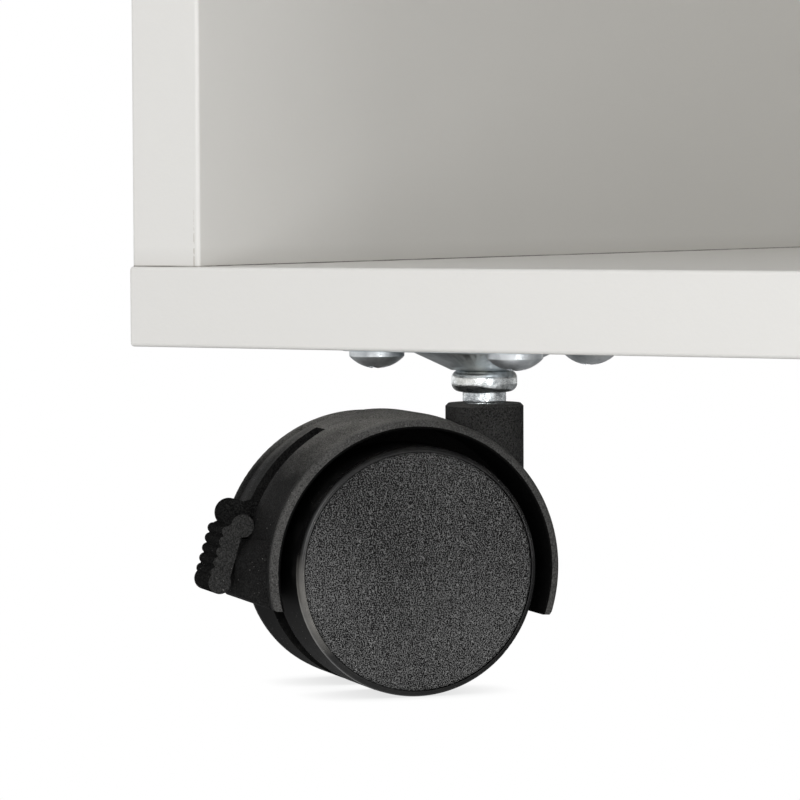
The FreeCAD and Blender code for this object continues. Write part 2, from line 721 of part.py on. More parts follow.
def stem_tube(name):
    tube = turned(name + "_solid", [
        ("0", "0"), ("tube_radius", "0"), ("tube_radius", tube_top + " - tube_chamfer"),
        ("tube_radius - tube_chamfer", tube_top), ("0", tube_top),
    ])
    place(tube, "-trail")
    return cut(name, tube, crossbar(name + "_room", hood_inner, "2 * tube_radius", "0", "0"))


def web(name):
    disc = crossbar(name + "_disc", hood_inner + " + hood_wall / 2", "web_half", "0", "0")
    upper = box(
        name + "_upper", "2 * hood_radius", "2 * web_half", "hood_radius + axle_boss",
        "-hood_radius", "-web_half", "-axle_boss")
    return common(name, disc, upper)


def nose(name):
    profile = padded(name + "_profile", "XZ_Plane", [
        (hood_inner, "nose_top"),
        ("sqrt(hood_radius * hood_radius - nose_top * nose_top)", "nose_top"),
        (nose_x, "nose_brow"),
        (nose_x, "-nose_chin"),
        ("hood_radius - nose_foot", "-toe_drop"),
        (hood_inner + " - nose_foot", "-toe_drop"),
    ], "2 * nose_half")

    def front(edge):
        middle = edge.valueAt((edge.FirstParameter + edge.LastParameter) / 2)
        foremost = close(middle.x, sheet.get("hood_radius") + sheet.get("nose_reach"))
        return foremost and close(edge.BoundBox.YLength, 2 * sheet.get("nose_half"))
    round_edges(profile, "nose_round", front)
    bulge = "(nose_reach + nose_fade)"
    sweep = "((nose_half * nose_half + %s * %s) / (2 * %s))" % (bulge, bulge, bulge)
    plan = cylinder(
        name + "_plan", sweep, "4 * hood_radius", "%s - %s" % (nose_x, sweep), z="-2 * hood_radius")
    shaped = common(name + "_shaped", profile, plan)
    recess = box(
        name + "_recess", "hood_radius", "2 * (pedal_half + lever_play)", "2 * hood_radius",
        nose_x + " - pedal_recess", "-pedal_half - lever_play", "-hood_radius")
    return cut(name, shaped, recess, crossbar(name + "_room", hood_inner, "2 * hood_half", "0", "0"))


def wedge(name, x, z, low, high, reach, half):
    """A three-cornered prism across the caster that opens from a point between two directions."""
    return padded(name, "XZ_Plane", [
        (x, z),
        ("%s + (%s) * cos(%s)" % (x, reach, low), "%s + (%s) * sin(%s)" % (z, reach, low)),
        ("%s + (%s) * cos(%s)" % (x, reach, high), "%s + (%s) * sin(%s)" % (z, reach, high)),
    ], "2 * (%s)" % half)


def brake_room(name):
    """Cuts in the housing for the brake lever: slot, pocket in the web, bar sweep and ear seats."""
    slot_wedge = wedge(
        name + "_slot_wedge", "0", "0", "slot_low", "slot_high", "2 * hood_radius", "slot_half")
    slot = cut(name + "_slot", slot_wedge, crossbar(name + "_slot_foot", hood_inner, "hood_half", "0", "0"))
    sweep_outer = "bar_arm + bar_radius + lever_play"
    pocket = crossbar(name + "_pocket", sweep_outer, "arm_half + lever_play", pivot_x, pivot_z)
    sweep_wedge = wedge(
        name + "_sweep_wedge", pivot_x, pivot_z, "(bar_angle - sweep_margin)",
        "(bar_angle + lever_swing + sweep_margin)", "2 * (%s)" % sweep_outer, "hood_half")
    sweep_inner = "bar_arm - bar_radius - lever_play"
    sweep_ring = cut(
        name + "_sweep_ring",
        crossbar(name + "_sweep_outer", sweep_outer, "hood_half", pivot_x, pivot_z),
        crossbar(name + "_sweep_inner", sweep_inner, "hood_half", pivot_x, pivot_z))
    sweep = common(name + "_sweep", sweep_wedge, sweep_ring)
    ears = crossbar(name + "_ears", "ear_radius + lever_play", "pedal_half + lever_play", ear_x, "ear_up")
    pin_bore = crossbar(name + "_pin_bore", "lever_pin", "web_half", pivot_x, pivot_z)
    return [slot, pocket, sweep, ears, pin_bore]


def housing(name, braked):
    pieces = [hood(name + "_hood"), stem_tube(name + "_tube"), web(name + "_web")]
    if braked:
        pieces.append(nose(name + "_nose"))
    ring_low = "%s + swivel_gap - ring_seat - ring_height - ring_play" % tube_top
    tools = [
        cylinder(name + "_socket", "stem_radius + run_fit", "%s - %s + swivel_gap" % (tube_top, stem_end),
                 "-trail", "0", stem_end + " - swivel_gap"),
        cylinder(name + "_ring_groove", "stem_radius + ring_reach + ring_play", "ring_height + 2 * ring_play",
                 "-trail", "0", ring_low),
        crossbar(name + "_axle_bore", "axle_radius", "hood_half", "0", "0"),
    ]
    if braked:
        tools += brake_room(name + "_brake")
    return cut(name, fuse(name + "_moulding", *pieces), *tools)


def axle(name):
    groove = "axle_radius - snap_depth - run_fit"
    groove_near = "axle_half - snap_inset - snap_width - snap_play"
    groove_far = "axle_half - snap_inset + snap_play"
    return turned(name, [
        ("0", "-axle_half"), ("axle_radius", "-axle_half"),
        ("axle_radius", "-(%s)" % groove_far), (groove, "-(%s)" % groove_far),
        (groove, "-(%s)" % groove_near), ("axle_radius", "-(%s)" % groove_near),
        ("axle_radius", groove_near), (groove, groove_near),
        (groove, groove_far), ("axle_radius", groove_far),
        ("axle_radius", "axle_half"), ("0", "axle_half"),
    ], "XY_Plane")


def wheel(name, side):
    bore = "axle_radius + run_fit"
    snap_near = "axle_half - snap_inset - snap_width"
    snap_far = "axle_half - snap_inset"
    disc_inner = cap_seat + " - wheel_disc"
    profile = [
        (bore, hub_inner), ("hub_radius", hub_inner), ("hub_radius", disc_inner),
        (rim_inner, disc_inner), (rim_inner, "wheel_inner"),
        ("wheel_diameter / 2", "wheel_inner"), ("wheel_diameter / 2", "wheel_outer - shoulder_run"),
        ("wheel_diameter / 2 - shoulder_taper", "wheel_outer"),
        (cap_recess, "wheel_outer"), (cap_recess, cap_seat), ("0", cap_seat),
        ("0", bore_end), (bore, bore_end),
        (bore, snap_far), (bore + " - snap_depth", snap_far),
        (bore + " - snap_depth", snap_near), (bore, snap_near),
    ]
    body = turned(name, [(across, signed(side, along)) for across, along in profile], "XY_Plane")
    edge_radius = sheet.get("wheel_diameter") / 2 - sheet.get("shoulder_taper")
    return round_edges(body, "shoulder_round", ring_of(edge_radius))


def wheel_cap(name, side):
    radius = cap_recess + " - cap_groove"
    face = "wheel_outer + cap_proud"
    profile = [
        ("0", cap_seat), (radius, cap_seat), (radius, face + " - cap_edge"),
        (radius + " - cap_edge", face), ("0", face),
    ]
    return turned(name, [(across, signed(side, along)) for across, along in profile], "XY_Plane")


def brake_lever(name):
    side_x = "strut_half * sin(bar_angle)"
    side_z = "strut_half * cos(bar_angle)"
    strut = padded(name + "_strut", "XZ_Plane", [
        (pivot_x + " - " + side_x, pivot_z + " + " + side_z),
        (bar_x + " - " + side_x, bar_z + " + " + side_z),
        (bar_x + " + " + side_x, bar_z + " - " + side_z),
        (pivot_x + " + " + side_x, pivot_z + " - " + side_z),
    ], "2 * arm_half")
    arm = padded(name + "_arm", "XZ_Plane", [
        (pivot_x, pivot_z + " - lever_hub"), (ear_x, "ear_up - ear_radius / 2"),
        (knuckle_x, "knuckle_up + knuckle_radius / 2"), (pivot_x, pivot_z + " + lever_hub"),
    ], "2 * arm_half")
    tip_x = "(%s + pedal_length * cos(pedal_angle))" % pedal_x
    tip_z = "(pedal_up + pedal_length * sin(pedal_angle))"
    off_x = "(pedal_thick / 2 * sin(pedal_angle))"
    off_z = "(pedal_thick / 2 * cos(pedal_angle))"
    slab = padded(name + "_slab", "XZ_Plane", [
        (pedal_x + " + " + off_x, "pedal_up - " + off_z),
        (tip_x + " + " + off_x, tip_z + " - " + off_z),
        (tip_x + " - " + off_x, tip_z + " + " + off_z),
        (pedal_x + " - " + off_x, "pedal_up + " + off_z),
    ], "2 * pedal_half")
    pieces = [
        crossbar(name + "_hub", "lever_hub", "arm_half", pivot_x, pivot_z),
        crossbar(name + "_bar", "bar_radius", "bar_half", bar_x, bar_z),
        crossbar(name + "_knuckle", "knuckle_radius", "knuckle_half", knuckle_x, "knuckle_up"),
        crossbar(name + "_ears", "ear_radius", "pedal_half", ear_x, "ear_up"),
        crossbar(name + "_brow", "pedal_thick / 2", "pedal_half", pedal_x, "pedal_up"),
        crossbar(name + "_tip", "pedal_tip", "pedal_half", tip_x, tip_z),
        strut, arm, slab,
    ]
    rib_x = "((pedal_thick / 2 - rib_sink) * sin(pedal_angle))"
    rib_z = "((pedal_thick / 2 - rib_sink) * cos(pedal_angle))"
    for i in range(rib_count):
        along = "(%d * rib_pitch)" % i
        pieces.append(crossbar(
            "%s_rib_%d" % (name, i), "rib_radius", "pedal_half",
            "%s + %s * cos(pedal_angle) - %s" % (pedal_x, along, rib_x),
            "pedal_up + %s * sin(pedal_angle) + %s" % (along, rib_z)))
    bore = crossbar(name + "_bore", "lever_pin + run_fit", "arm_half", pivot_x, pivot_z)
    return cut(name, fuse(name + "_solid", *pieces), bore)


def swivelling_pieces(corner, x_sign, y_sign, turn, braked):
    swivelling = {
        "_caster_housing": housing(corner + "_housing", braked),
        "_axle": axle(corner + "_axle"),
        "_wheel_a": wheel(corner + "_wheel_a", 1),
        "_wheel_b": wheel(corner + "_wheel_b", -1),
        "_wheel_cap_a": wheel_cap(corner + "_cap_a", 1),
        "_wheel_cap_b": wheel_cap(corner + "_cap_b", -1),
    }
    if braked:
        swivelling["_brake_lever"] = brake_lever(corner + "_lever")
        pin = group(corner + "_pin_seat", [
            crossbar(corner + "_pin", "lever_pin", "web_half", pivot_x, pivot_z)])
        swivelling["_lever_pin"] = pin
    for ending, piece in swivelling.items():
        node(stand_at_axle(piece, x_sign, y_sign, turn), corner + ending)


bottom_panel()
for side_name, side in sides.items():
    side_panel(side_name, side)
top_panel()
back_panel()
middle_shelf()
cabinet_fasteners()
for corner, (x_sign, y_sign, turn, braked) in corners.items():
    fixed_pieces(corner, x_sign, y_sign)
    swivelling_pieces(corner, x_sign, y_sign, turn, braked)
doc.recompute()

failed = [item.Name for item in doc.Objects if "Invalid" in item.State or "Error" in item.State]
if failed:
    raise RuntimeError("failed objects: " + ", ".join(failed))
for piece in nodes:
    if piece.Shape.isNull() or not piece.Shape.isValid() or not piece.Shape.Solids:
        raise RuntimeError("bad shape: " + piece.Label)

os.makedirs("parts", exist_ok=True)
for piece in nodes:
    piece.Shape.exportStep(os.path.join("parts", piece.Label + ".step"))
print(len(nodes), "pieces written")
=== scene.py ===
# Rolling printer stand: finishes, rounded edges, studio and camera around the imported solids.
import bmesh
import bpy
import json
import math
from mathutils import Matrix, Vector


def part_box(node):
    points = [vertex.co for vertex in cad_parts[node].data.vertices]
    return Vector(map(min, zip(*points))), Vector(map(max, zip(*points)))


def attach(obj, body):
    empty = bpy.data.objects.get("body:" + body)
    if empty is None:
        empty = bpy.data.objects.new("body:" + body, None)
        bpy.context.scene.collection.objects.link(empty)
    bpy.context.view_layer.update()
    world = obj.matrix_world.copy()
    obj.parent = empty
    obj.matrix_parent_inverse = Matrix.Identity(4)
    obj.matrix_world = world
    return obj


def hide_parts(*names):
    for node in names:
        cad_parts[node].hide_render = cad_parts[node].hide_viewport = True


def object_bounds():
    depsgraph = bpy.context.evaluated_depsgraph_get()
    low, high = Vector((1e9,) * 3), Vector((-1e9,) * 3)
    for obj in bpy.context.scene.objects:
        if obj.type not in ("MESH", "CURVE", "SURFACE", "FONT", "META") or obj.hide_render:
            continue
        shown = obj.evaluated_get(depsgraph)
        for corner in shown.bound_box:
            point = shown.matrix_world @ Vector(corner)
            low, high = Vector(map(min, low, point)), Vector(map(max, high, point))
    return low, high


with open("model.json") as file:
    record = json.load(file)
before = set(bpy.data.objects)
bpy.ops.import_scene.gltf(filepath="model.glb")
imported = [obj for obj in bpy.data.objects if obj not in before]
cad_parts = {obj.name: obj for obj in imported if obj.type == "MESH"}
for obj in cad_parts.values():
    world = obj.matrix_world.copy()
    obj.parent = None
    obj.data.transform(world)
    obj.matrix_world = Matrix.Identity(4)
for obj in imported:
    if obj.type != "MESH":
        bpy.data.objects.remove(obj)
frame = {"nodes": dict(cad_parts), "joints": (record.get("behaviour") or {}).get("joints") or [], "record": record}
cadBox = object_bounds()
nodes = frame["nodes"]
corners = ["front_left", "front_right", "rear_left", "rear_right"]
brakedCorners = ["front_left", "front_right"]
bodyOf = {}
for bodyName, members in frame["record"]["behaviour"]["bodies"].items():
    for member in members:
        bodyOf[member] = bodyName
jointOf = {joint["name"]: joint for joint in frame["joints"]}
print("frame loaded:", len(nodes), "nodes")


# Shader kit

class Level:  # one shader value, so that finishes can be written as sums
    def __init__(self, finish, socket):
        self.finish = finish
        self.socket = socket

    def pick(self, name):  # another output of the same node
        return Level(self.finish, self.socket.node.outputs[name])

    def sum(self, operation, first, second):
        return self.finish.node("Math", {"operation": operation}, {0: first, 1: second})

    def swing(self, amount):  # a noise lies round one half: its part of an amount, to either side
        return (self - 0.5) * amount

    def spread(self, share, least):
        return self * share + least

    def __add__(self, other):
        return self.sum("ADD", self, other)

    def __radd__(self, other):
        return self.sum("ADD", other, self)

    def __sub__(self, other):
        return self.sum("SUBTRACT", self, other)

    def __rsub__(self, other):
        return self.sum("SUBTRACT", other, self)

    def __mul__(self, other):
        return self.sum("MULTIPLY", self, other)

    def __rmul__(self, other):
        return self.sum("MULTIPLY", other, self)

    def __truediv__(self, other):
        return self.sum("DIVIDE", self, other)

    def __pow__(self, other):
        return self.sum("POWER", self, other)

    def __abs__(self):
        return self.sum("ABSOLUTE", self, 0)

    def __gt__(self, other):
        return self.sum("GREATER_THAN", self, other)

    def __lt__(self, other):
        return self.sum("LESS_THAN", self, other)


class Finish:  # a node tree, of a material or of the world
    def __init__(self, owner):
        self.owner = owner
        owner.use_nodes = True
        self.tree = owner.node_tree
        self.tree.nodes.clear()

    def node(self, kind, settings=None, sockets=None, out=0):
        made = self.tree.nodes.new("ShaderNode" + kind)
        for key, value in (settings or {}).items():
            if key == "stops":
                while len(made.color_ramp.elements) < len(value):
                    made.color_ramp.elements.new(1)
                for stop, (position, tone) in zip(made.color_ramp.elements, value):
                    stop.position = position
                    stop.color = (tone, tone, tone, 1)
            else:
                setattr(made, key, value)
        for key, value in (sockets or {}).items():
            if isinstance(value, Level):
                self.tree.links.new(value.socket, made.inputs[key])
            else:
                made.inputs[key].default_value = value
        return Level(self, made.outputs[out]) if len(made.outputs) else None

    def place(self):  # rest position of the surface, metres
        return self.node("TexCoord", out="Object")

    def local(self, centre, turn):  # position in a frame that is centred and turned about Z
        settings = {"vector_type": "TEXTURE"}
        sockets = {"Vector": self.place(), "Location": centre, "Rotation": (0, 0, turn)}
        return self.node("Mapping", settings, sockets)

    def stretch(self, place, scale):
        return self.node("Mapping", {}, {"Vector": place, "Scale": scale})

    def shift(self, place, offset):
        return self.node("Mapping", {}, {"Vector": place, "Location": offset})

    def axes(self, place):
        split = self.node("SeparateXYZ", {}, {0: place})
        return split.pick("X"), split.pick("Y"), split.pick("Z")

    def noise(self, place, grain, detail=2.0, rough=0.5, bend=0.0):  # grain is the size of a blotch
        sockets = {"Vector": place, "Scale": 1 / grain, "Detail": detail}
        sockets.update({"Roughness": rough, "Distortion": bend})
        return self.node("TexNoise", {}, sockets)

    def cells(self, place, grain):
        return self.node("TexVoronoi", {}, {"Vector": place, "Scale": 1 / grain})

    def ramp(self, level, stops):
        return self.node("ValToRGB", {"stops": stops}, {0: level})

    def clipped(self, level):  # kept between nought and one
        return self.ramp(level, [(0.0, 0), (1.0, 1)])

    def tint(self, share, first, second):
        sockets = {0: share, 6: first, 7: second}
        return self.node("Mix", {"data_type": "RGBA"}, sockets, out=2)

    def bump(self, height, depth, strength=1.0):
        return self.node("Bump", {}, {"Height": height, "Distance": depth, "Strength": strength})

    def surface(self, **sockets):
        names = {"color": "Base Color", "rough": "Roughness", "metal": "Metallic", "normal": "Normal",
                 "gloss": "Specular IOR Level", "coat": "Coat Weight", "coatRough": "Coat Roughness"}
        shader = self.node("BsdfPrincipled", {}, {names[key]: value for key, value in sockets.items()})
        self.node("OutputMaterial", {}, {0: shader})
        return self.owner


def newFinish(name):
    return Finish(bpy.data.materials.new(name))


def rgb(red, green, blue):
    return (red, green, blue, 1)


# Finishes. A noise is given as size in metres, detail, roughness and bend, and a ramp as its stops.

boardFinish = {
    "face": rgb(0.80, 0.79, 0.765), "shade": rgb(0.77, 0.76, 0.735), "line": rgb(0.42, 0.38, 0.33),
    "joint": rgb(0.10, 0.085, 0.07), "grime": rgb(0.52, 0.50, 0.46),
    "cloud": (0.16, 3), "pearl": (0.0009, 3, 0.6), "chip": (0.0012, 3, 0.7), "wear": (0.012, 3, 0.7),
    "rough": 0.42, "pearlRough": 0.16, "cloudRough": 0.08, "depth": 0.00005, "strength": 0.6,
    "band": 0.0012, "lineHalf": 0.00012, "lineReach": 0.014,
    "chipped": [(0.44, 0.0), (0.54, 1.0)], "lineFade": [(0.0, 0.9), (1.0, 0.0)],
    "grimeReach": 0.004, "grimeFade": [(0.0, 0.5), (0.15, 0.22), (1.0, 0.0)],
    "jointHalf": 0.00018, "jointWear": [(0.35, 0.45), (0.6, 1.0)],
}


def edgeInset(level, low, high):  # how far a place lies inside the nearer of two faces
    return (high - low) / 2 - abs(level - (low + high) / 2)


def melamine(name, low, high, butted):  # a butted board stands between two others
    f = newFinish(name)
    place = f.place()
    cloud = f.noise(place, *boardFinish["cloud"])
    pearl = f.noise(place, *boardFinish["pearl"])
    color = f.tint(cloud, boardFinish["face"], boardFinish["shade"])
    if butted:
        x, y, z = f.axes(place)
        across = abs(x) - min(abs(low[0]), abs(high[0]))
        along = edgeInset(z, low[2], high[2])
        # glue shows in dashes near the ends, where the edge band meets the inner face
        chips = f.ramp(f.noise(place, *boardFinish["chip"]), boardFinish["chipped"])
        worn = f.ramp(along / boardFinish["lineReach"], boardFinish["lineFade"])
        line = abs(across - boardFinish["band"]) < boardFinish["lineHalf"]
        color = f.tint(line * chips * worn, color, boardFinish["line"])
        # a painted shade darkens the inner face near the corner, and the joint itself is dark
        near = f.ramp(along / boardFinish["grimeReach"], boardFinish["grimeFade"])
        color = f.tint(near, color, boardFinish["grime"])
        gap = f.ramp(f.noise(place, *boardFinish["wear"]), boardFinish["jointWear"])
        color = f.tint((along < boardFinish["jointHalf"]) * gap, color, boardFinish["joint"])
    rough = boardFinish["rough"] + pearl.swing(boardFinish["pearlRough"])
    rough = rough + cloud.swing(boardFinish["cloudRough"])
    normal = f.bump(pearl, boardFinish["depth"], boardFinish["strength"])
    return f.surface(color=color, rough=rough, normal=normal)


plateFinish = {
    "bright": rgb(0.80, 0.85, 0.88), "dull": rgb(0.46, 0.50, 0.53), "warm": rgb(0.80, 0.77, 0.68),
    "blotch": (0.005, 4, 0.6), "stain": (0.011, 2), "scratch": (0.0007, 2, 0.6), "brushed": (1, 1, 4),
    "dulled": [(0.40, 0), (0.72, 1)], "stained": [(0.55, 0), (0.8, 0.5)],
    "rough": 0.34, "blotchRough": 0.2, "scratchRough": 0.12, "metal": 1.0,
    "depth": 0.00004, "dents": 3, "strength": 0.6,
}
stemFinish = dict(
    plateFinish, bright=rgb(0.86, 0.90, 0.92), dull=rgb(0.22, 0.25, 0.27),
    blotch=(0.0016, 4, 0.6), rough=0.24)
screwFinish = dict(plateFinish, bright=rgb(0.84, 0.87, 0.89), rough=0.42, metal=0.85)


def zincPlate(name, look):
    f = newFinish(name)
    place = f.place()
    blotch = f.noise(place, *look["blotch"])
    scratch = f.noise(f.stretch(place, look["brushed"]), *look["scratch"])
    color = f.tint(f.ramp(blotch, look["dulled"]), look["bright"], look["dull"])
    warm = f.ramp(f.noise(place, *look["stain"]), look["stained"])
    color = f.tint(warm, color, look["warm"])
    rough = look["rough"] + blotch.swing(look["blotchRough"]) + scratch.swing(look["scratchRough"])
    normal = f.bump(scratch + blotch * look["dents"], look["depth"], look["strength"])
    return f.surface(color=color, rough=rough, metal=look["metal"], normal=normal)


dustLook = {
    "color": rgb(0.30, 0.29, 0.28), "cell": 0.0011, "size": 0.10,
    "patch": (0.006, 3, 0.6), "patched": [(0.48, 0), (0.66, 1)],
}


def dustOn(f, place, color):  # sparse pale specks, more in some patches than in others
    patch = f.ramp(f.noise(place, *dustLook["patch"]), dustLook["patched"])
    speck = f.cells(place, dustLook["cell"]) < dustLook["size"]
    return f.tint(speck * patch, color, dustLook["color"])


hoodFinish = {
    "dark": rgb(0.004, 0.004, 0.004), "crest": rgb(0.022, 0.0218, 0.0215),
    "tube": rgb(0.085, 0.084, 0.082), "lip": rgb(0.130, 0.128, 0.124),
    "settled": rgb(0.500, 0.488, 0.460), "inside": rgb(0.004, 0.004, 0.004),
    "grain": (0.00030, 1, 0.5, 0.5), "fine": (0.0002, 1), "patch": (0.010, 3),
    "grainShare": 0.7, "fineShare": 0.3, "patchSwing": 0.2, "crested": [(0.36, 0), (0.64, 1)],
    "filmFoot": 0.014, "filmFade": 0.014, "filmSwing": 0.5, "filmed": [(0.55, 0), (1.0, 1)],
    "filmCover": (0.5, 0.2), "tubeCover": (0.7, 0.1), "lipCover": (0.5, 0.3),
    "tubeRadius": 0.0315, "tubeFoot": 0.012, "lipStart": 0.0166, "lipFade": 0.0010,
    "insideRadius": 0.0288, "insideRough": 0.3,
    "rough": 0.68, "fineRough": 0.2, "gloss": 0.04, "depth": 0.0004,
}


def hoodPlastic(name, centre, turn):
    f = newFinish(name)
    place = f.place()
    x, y, z = f.axes(f.local(centre, turn))
    radius = (x * x + z * z) ** 0.5
    grain = f.noise(place, *hoodFinish["grain"])
    fine = f.noise(place, *hoodFinish["fine"])
    patch = f.noise(place, *hoodFinish["patch"])
    height = grain * hoodFinish["grainShare"] + fine * hoodFinish["fineShare"]
    crest = f.ramp(height + patch.swing(hoodFinish["patchSwing"]), hoodFinish["crested"])
    color = f.tint(crest, hoodFinish["dark"], hoodFinish["crest"])
    # dust and a painted sheen grey the grain of the upper faces
    upward = f.axes(f.node("NewGeometry", out="Normal"))[2]
    film = f.ramp(upward + patch.swing(hoodFinish["filmSwing"]), hoodFinish["filmed"])
    high = f.clipped((z - hoodFinish["filmFoot"]) / hoodFinish["filmFade"])
    color = f.tint(film * high * crest.spread(*hoodFinish["filmCover"]), color, hoodFinish["settled"])
    # the grain crests of the tube round the stem are painted paler, as a painted sheen
    tube = (radius > hoodFinish["tubeRadius"]) * (z > hoodFinish["tubeFoot"])
    color = f.tint(tube * crest.spread(*hoodFinish["tubeCover"]), color, hoodFinish["tube"])
    # the lip is painted paler, partly as wear and partly as a painted highlight, and the shell is painted black
    # inside as shade
    lip = f.clipped((abs(y) - hoodFinish["lipStart"]) / hoodFinish["lipFade"])
    color = f.tint(lip * crest.spread(*hoodFinish["lipCover"]), color, hoodFinish["lip"])
    # painted shade: the inside of the shell is painted black, without grain or dust
    inside = radius < hoodFinish["insideRadius"]
    color = f.tint(inside, dustOn(f, place, color), hoodFinish["inside"])
    rough = hoodFinish["rough"] + fine.swing(hoodFinish["fineRough"]) + inside * hoodFinish["insideRough"]
    normal = f.bump(height, hoodFinish["depth"])
    return f.surface(color=color, rough=rough, gloss=hoodFinish["gloss"], normal=normal)


leverFinish = {
    "dark": rgb(0.006, 0.006, 0.006), "crest": rgb(0.024, 0.024, 0.0237),
    "cheek": rgb(0.070, 0.070, 0.0685), "rim": rgb(0.110, 0.109, 0.106),
    "cheekStart": 0.00545, "rimStart": 0.0051, "cover": (0.5, 0.3),
    "grain": (0.00032, 1, 0.5, 0.4), "crested": [(0.38, 0), (0.64, 1)],
    "rough": 0.65, "grainRough": 0.2, "gloss": 0.0, "depth": 0.0005,
}


def leverPlastic(name, centre, turn):
    f = newFinish(name)
    place = f.place()
    x, y, z = f.axes(f.local(centre, turn))
    grain = f.noise(place, *leverFinish["grain"])
    crest = f.ramp(grain, leverFinish["crested"])
    color = f.tint(crest, leverFinish["dark"], leverFinish["crest"])
    # painted light: the cheeks are painted paler on their grain crests, and the rims round them get a painted
    # highlight
    cover = crest.spread(*leverFinish["cover"])
    cheek = abs(y) > leverFinish["cheekStart"]
    rim = (abs(y) > leverFinish["rimStart"]) - cheek
    color = f.tint(cheek * cover, color, leverFinish["cheek"])
    color = dustOn(f, place, f.tint(rim * cover, color, leverFinish["rim"]))
    rough = leverFinish["rough"] + grain.swing(leverFinish["grainRough"])
    normal = f.bump(grain, leverFinish["depth"])
    return f.surface(color=color, rough=rough, gloss=leverFinish["gloss"], normal=normal)


treadFinish = {
    "dark": rgb(0.005, 0.005, 0.0052), "scuff": rgb(0.018, 0.0176, 0.0168), "worn": rgb(0.31, 0.30, 0.28),
    "scuffs": (0.005, 4, 0.65), "scuffed": [(0.45, 0), (0.75, 1)],
    "lathe": 0.00045, "latheShare": 0.5, "wave": (0.0009, 2), "waveShare": 2,
    "depth": 0.000012, "strength": 0.5, "rough": 0.58, "scuffRough": 0.16, "gloss": 0.03,
    "ring": 0.0175, "polish": 0.25, "coat": 0.5,
    "wornStart": 0.0165, "wornWidth": 0.0020, "wornAngle": math.radians(16), "wornScuff": 0.4,
    "wornAcross": [(0.40, 0.0), (0.72, 1.0), (0.90, 0.6), (1.0, 0.5)],
    "wornAlong": [(0.90, 0.0), (0.99, 1.0)],
}


def treadPlastic(name, centre, turn):
    f = newFinish(name)
    place = f.place()
    x, y, z = f.axes(f.local(centre, turn))
    radius = (x * x + z * z) ** 0.5
    # mould polish follows the wheel round
    rings = f.node("Math", {"operation": "SINE"}, {0: (radius + y) * (2 * math.pi / treadFinish["lathe"])})
    scuff = f.ramp(f.noise(place, *treadFinish["scuffs"]), treadFinish["scuffed"])
    color = f.tint(scuff, treadFinish["dark"], treadFinish["scuff"])
    color = dustOn(f, place, color)
    # the turned ring beside the cap is polished, and a painted highlight lies pale on one side of the outer wheel
    ring = abs(y) > treadFinish["ring"]
    angle = treadFinish["wornAngle"]
    facing = (x * math.cos(angle) - z * math.sin(angle)) / radius
    along = f.ramp(facing, treadFinish["wornAlong"])
    across = f.ramp((y - treadFinish["wornStart"]) / treadFinish["wornWidth"], treadFinish["wornAcross"])
    worn = along * (1.0 - scuff * treadFinish["wornScuff"]) * across
    color = f.tint(worn, color, treadFinish["worn"])
    wave = f.noise(place, *treadFinish["wave"])
    height = rings * treadFinish["latheShare"] + wave * treadFinish["waveShare"]
    rough = treadFinish["rough"] + scuff * treadFinish["scuffRough"]
    normal = f.bump(height, treadFinish["depth"], treadFinish["strength"])
    return f.surface(
        color=color, rough=rough, gloss=treadFinish["gloss"], normal=normal,
        coat=ring * treadFinish["coat"], coatRough=treadFinish["polish"])


capFinish = {
    "pit": rgb(0.003, 0.003, 0.0031), "crest": rgb(0.250, 0.250, 0.249),
    "grain": (0.00028, 0), "reach": 0.000105, "relief": 2.0, "crested": [(0.28, 0), (0.76, 1)],
    "around": [(1, 1, 1), (-1, -1, 1), (-1, 1, -1), (1, -1, -1)],
    "cloud": (0.045, 1), "cloudShift": (0.03, 0.01, 0.02), "cloudSwing": 0.65,
    "rough": 0.30, "crestRough": 0.08, "cloudRough": 0.2, "gloss": 0.18, "depth": 0.0006,
}


def leatherPlastic(name):
    f = newFinish(name)
    place = f.place()
    cloud = f.noise(f.shift(place, capFinish["cloudShift"]), *capFinish["cloud"])
    # a place against its four neighbours: only the fine worms of the grain are left
    worm = f.noise(place, *capFinish["grain"])
    share = 1 / len(capFinish["around"])
    for step in capFinish["around"]:
        offset = [capFinish["reach"] * part for part in step]
        worm = worm - f.noise(f.shift(place, offset), *capFinish["grain"]) * share
    height = 0.5 + worm * capFinish["relief"]
    # painted light and shade: the pale crests and dark pits stand partly for the grain's own tone and partly for
    # the lit relief
    crest = f.ramp(height - cloud.swing(capFinish["cloudSwing"]), capFinish["crested"])
    color = f.tint(crest, capFinish["pit"], capFinish["crest"])
    rough = capFinish["rough"] - crest * capFinish["crestRough"] + cloud.swing(capFinish["cloudRough"])
    normal = f.bump(height, capFinish["depth"])
    return f.surface(color=color, rough=rough, gloss=capFinish["gloss"], normal=normal)


woodFinish = {
    "dark": rgb(0.58, 0.41, 0.25), "pale": rgb(0.70, 0.53, 0.34), "along": (1, 1, 0.15),
    "grain": (0.0012, 4, 0.6, 0.4), "rough": 0.55, "grainRough": 0.15, "depth": 0.00005, "strength": 0.6,
}


def beechWood(name):
    f = newFinish(name)
    grain = f.noise(f.stretch(f.place(), woodFinish["along"]), *woodFinish["grain"])
    color = f.tint(grain, woodFinish["dark"], woodFinish["pale"])
    rough = woodFinish["rough"] + grain * woodFinish["grainRough"]
    normal = f.bump(grain, woodFinish["depth"], woodFinish["strength"])
    return f.surface(color=color, rough=rough, normal=normal)


castFinish = {
    "dull": rgb(0.48, 0.49, 0.50), "bright": rgb(0.62, 0.63, 0.63), "grain": (0.0008, 4, 0.65),
    "rough": 0.42, "grainRough": 0.2, "depth": 0.00006, "strength": 0.5,
}


def castZinc(name):
    f = newFinish(name)
    grain = f.noise(f.place(), *castFinish["grain"])
    color = f.tint(grain, castFinish["dull"], castFinish["bright"])
    rough = castFinish["rough"] + grain * castFinish["grainRough"]
    normal = f.bump(grain, castFinish["depth"], castFinish["strength"])
    return f.surface(color=color, rough=rough, metal=1.0, normal=normal)


